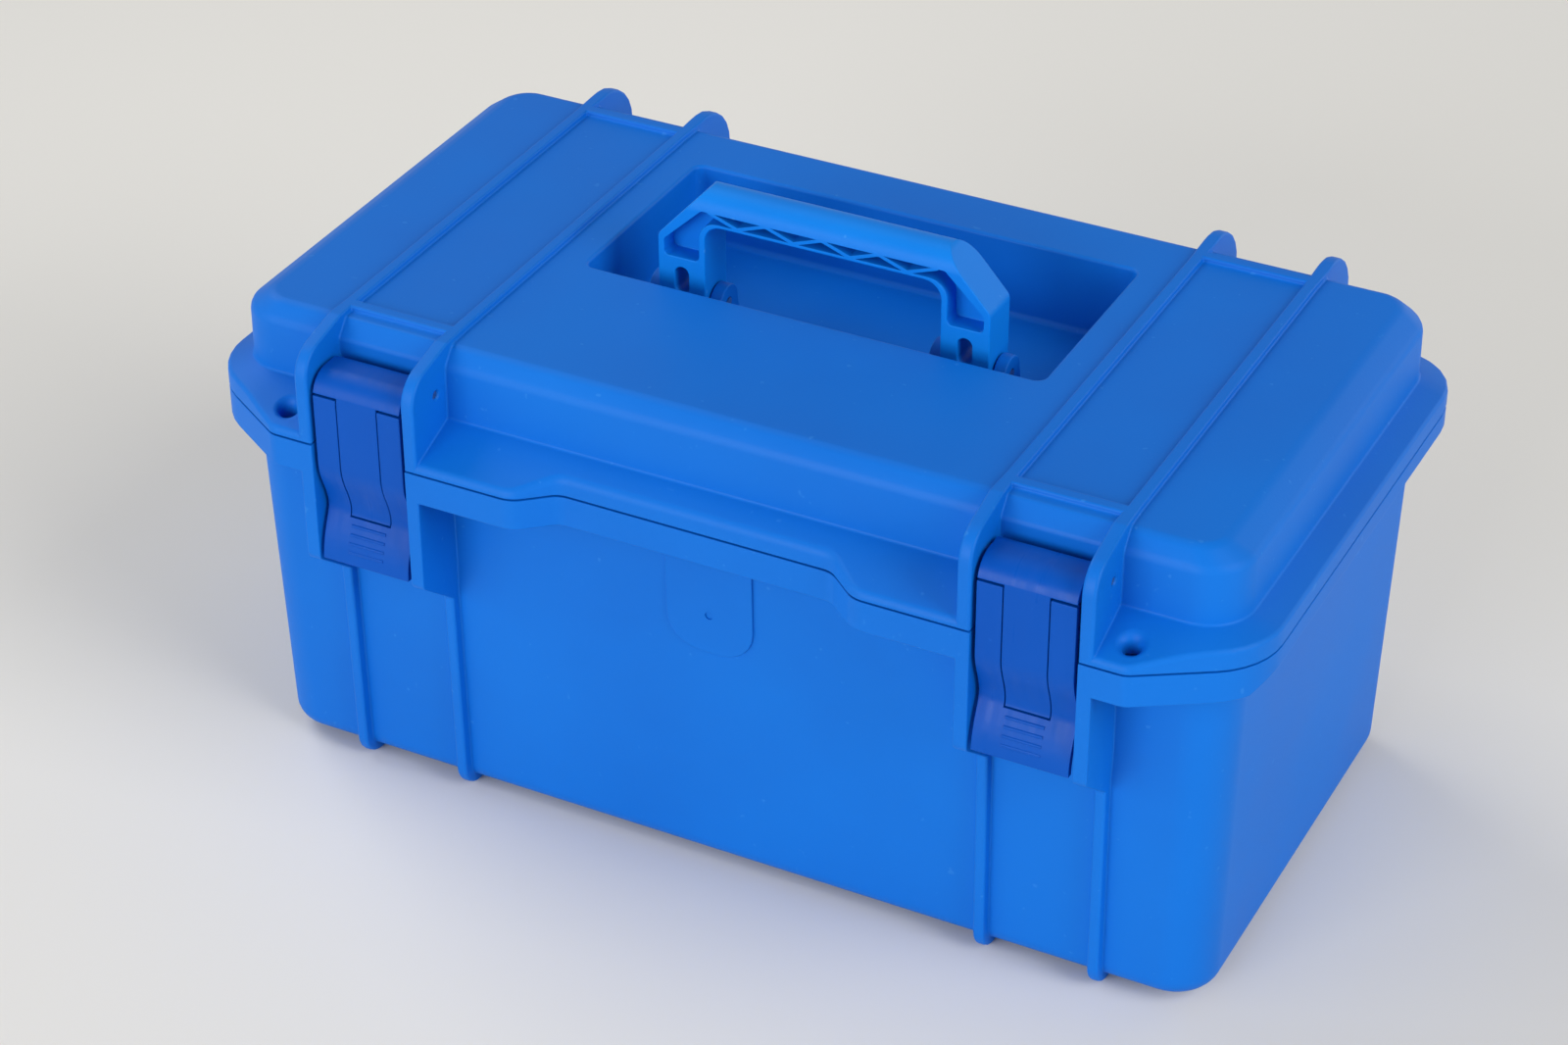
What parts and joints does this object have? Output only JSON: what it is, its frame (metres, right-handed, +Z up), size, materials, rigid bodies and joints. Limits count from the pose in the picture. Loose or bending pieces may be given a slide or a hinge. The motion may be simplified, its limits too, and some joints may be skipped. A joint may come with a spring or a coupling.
{
  "type": "hard tool case",
  "caption": "Deep moulded tool case with a hinged lid, two draw latches, a folding handle sunk in the lid and holes for a padlock.",
  "frame": {"origin": "on the ground, under the middle of the case", "axes": "+X along the case to the right as the latches face the viewer, +Y from the latches to the hinges, +Z up"},
  "size_m": [0.4272, 0.2486, 0.2383],
  "materials": {
    "case_plastic": "satin moulded",
    "handle_plastic": "satin moulded",
    "latch_plastic": "semi gloss moulded",
    "pin_steel": "plain"
  },
  "bodies": {
    "base": {"base_shell": "case_plastic", "hinge_pin_left": "pin_steel", "hinge_pin_right": "pin_steel"},
    "lid": {"lid_shell": "case_plastic", "handle_pin_left": "pin_steel", "handle_pin_right": "pin_steel", "latch_left_link_pin": "pin_steel", "latch_right_link_pin": "pin_steel"},
    "handle": {"handle": "handle_plastic"},
    "latch_left_link": {"latch_left_link": "latch_plastic", "latch_left_lever_pin": "pin_steel"},
    "latch_left_lever": {"latch_left_lever": "latch_plastic"},
    "latch_right_link": {"latch_right_link": "latch_plastic", "latch_right_lever_pin": "pin_steel"},
    "latch_right_lever": {"latch_right_lever": "latch_plastic"}
  },
  "joints": [
    {"name": "lid_hinge", "type": "hinge", "parent": "base", "child": "lid", "pos_m": [0, 0.1164, 0.1586], "axis": [-1, 0, 0], "range_deg": [0, 100]},
    {"name": "handle_fold", "type": "hinge", "parent": "lid", "child": "handle", "pos_m": [0, -0.0019, 0.1888], "axis": [-1, 0, 0], "range_deg": [0, 90]},
    {"name": "latch_left_link_swing", "type": "hinge", "parent": "lid", "child": "latch_left_link", "pos_m": [-0.13475, -0.1084, 0.187], "axis": [-1, 0, 0], "range_deg": [0, 95]},
    {"name": "latch_left_lever_swing", "type": "hinge", "parent": "latch_left_link", "child": "latch_left_lever", "pos_m": [-0.13475, -0.1203, 0.1736], "axis": [-1, 0, 0], "range_deg": [0, 60]},
    {"name": "latch_right_link_swing", "type": "hinge", "parent": "lid", "child": "latch_right_link", "pos_m": [0.13475, -0.1084, 0.187], "axis": [-1, 0, 0], "range_deg": [0, 95]},
    {"name": "latch_right_lever_swing", "type": "hinge", "parent": "latch_right_link", "child": "latch_right_lever", "pos_m": [0.13475, -0.1203, 0.1736], "axis": [-1, 0, 0], "range_deg": [0, 60]}
  ]
}
